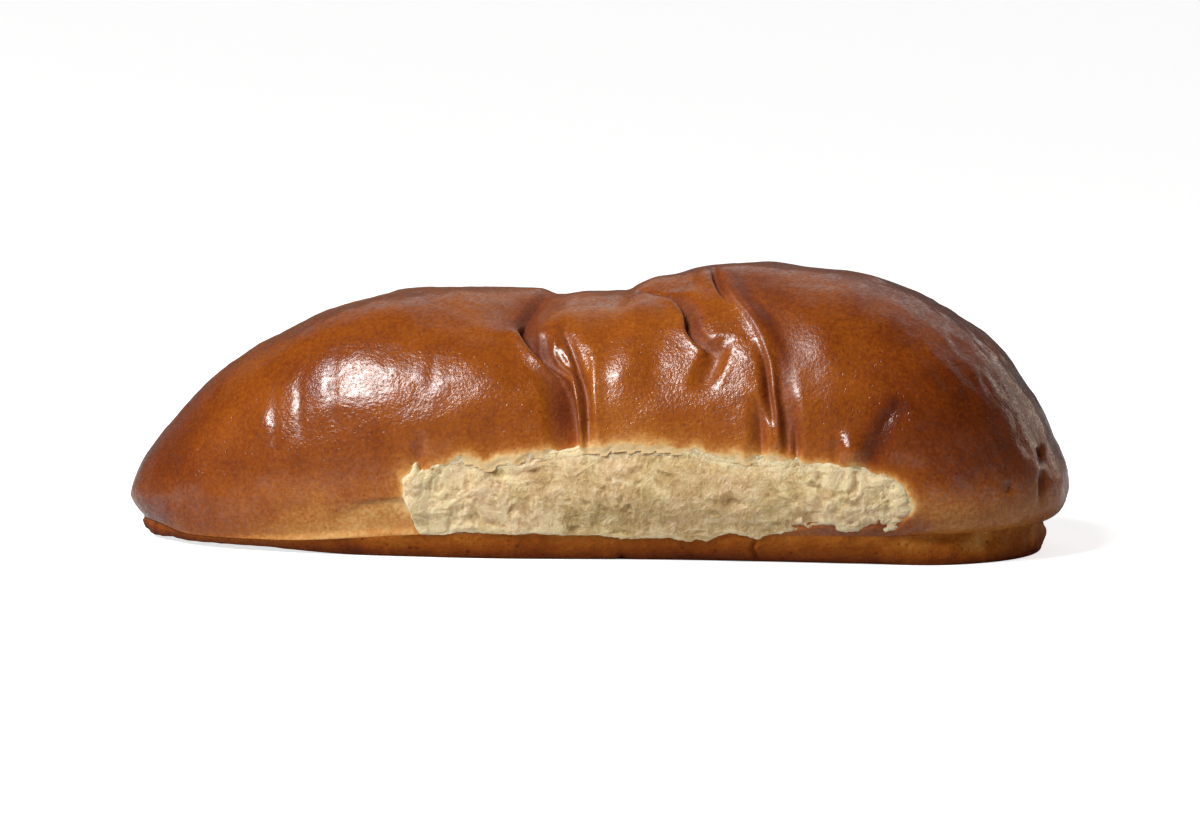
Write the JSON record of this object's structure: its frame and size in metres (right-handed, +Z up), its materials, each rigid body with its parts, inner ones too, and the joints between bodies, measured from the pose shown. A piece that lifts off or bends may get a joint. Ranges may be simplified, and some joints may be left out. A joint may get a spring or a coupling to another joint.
{
  "type": "hot dog bun",
  "caption": "Soft hot dog bun with a glossy browned crust, folded creases over the crown, and a torn strip of pale crumb along each long side",
  "frame": {"origin": "middle of the flat base that the bun rests on, at the centre of the box round the bun seen from above", "axes": "+X along the bun's length towards its blunt, taller end; -Y out of the long side with the deeper creases; +Z up from the base to the crown"},
  "size_m": [0.153, 0.0546, 0.0455],
  "materials": {
    "crust": "glossy egg-washed brown crust"
  },
  "bodies": {
    "root": {"bun": "crust"}
  },
  "joints": []
}
